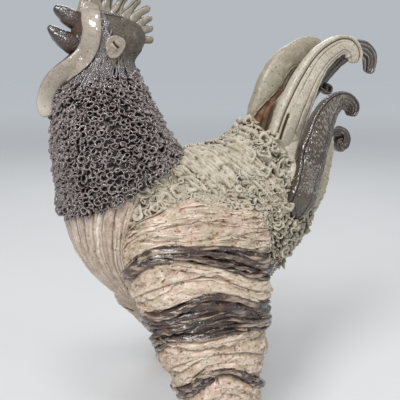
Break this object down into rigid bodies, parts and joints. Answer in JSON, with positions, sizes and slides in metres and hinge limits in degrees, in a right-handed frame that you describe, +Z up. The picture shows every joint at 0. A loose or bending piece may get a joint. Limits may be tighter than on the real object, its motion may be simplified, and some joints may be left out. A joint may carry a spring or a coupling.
{
  "type": "pottery rooster ornament",
  "caption": "Free-standing hand-built stoneware rooster, crowing, with a ring-curled neck, arched tail feathers and stout strip-wrapped legs.",
  "frame": {"origin": "on the table plane, under the middle of the overall box of the bird", "axes": "+Z up; the bird faces -X; its left side is towards -Y and its right side towards +Y"},
  "size_m": [0.3186, 0.2535, 0.3845],
  "materials": {
    "cream_clay": "semi-matte speckled stoneware",
    "buff_clay": "semi-matte pinkish buff stoneware, torn edges",
    "dark_glaze": "glossy dark brown glaze",
    "brown_slip": "satin dark brown slip",
    "olive_slip": "satin grey-olive slip"
  },
  "bodies": {
    "root": {"body": "cream_clay", "neck": "dark_glaze", "head": "brown_slip", "left_leg": "cream_clay", "right_leg": "cream_clay", "breast_strands": "buff_clay", "saddle_strands": "cream_clay", "neck_curls": "dark_glaze", "rump_tubes": "cream_clay", "saddle_rings": "cream_clay", "left_eye": "cream_clay", "right_eye": "cream_clay", "upper_beak": "brown_slip", "lower_beak": "brown_slip", "left_wattle": "cream_clay", "right_wattle": "cream_clay", "cream_long_feather": "cream_clay", "cream_back_feather": "cream_clay", "dark_hook_feather": "dark_glaze", "dark_low_feather": "dark_glaze", "dark_curl_feather": "dark_glaze", "cream_low_feather": "cream_clay", "comb_finger_1": "olive_slip", "comb_finger_2": "olive_slip", "comb_finger_3": "olive_slip", "comb_finger_4": "olive_slip", "comb_finger_5": "olive_slip", "comb_finger_6": "olive_slip", "comb_finger_7": "olive_slip", "comb_finger_8": "olive_slip", "comb_finger_9": "olive_slip", "left_leg_strip_1": "buff_clay", "left_leg_strip_2": "buff_clay", "left_leg_strip_3": "dark_glaze", "left_leg_strip_4": "buff_clay", "left_leg_strip_5": "buff_clay", "left_leg_strip_6": "dark_glaze", "left_leg_strip_7": "dark_glaze", "left_leg_strip_8": "buff_clay", "left_leg_strip_9": "buff_clay", "left_leg_strip_10": "dark_glaze", "left_leg_strip_11": "buff_clay", "left_leg_strip_12": "buff_clay", "left_leg_strip_13": "buff_clay", "right_leg_strip_1": "buff_clay", "right_leg_strip_2": "buff_clay", "right_leg_strip_3": "dark_glaze", "right_leg_strip_4": "buff_clay", "right_leg_strip_5": "buff_clay", "right_leg_strip_6": "dark_glaze", "right_leg_strip_7": "dark_glaze", "right_leg_strip_8": "buff_clay", "right_leg_strip_9": "buff_clay", "right_leg_strip_10": "dark_glaze", "right_leg_strip_11": "buff_clay", "right_leg_strip_12": "buff_clay", "right_leg_strip_13": "buff_clay"}
  },
  "joints": []
}
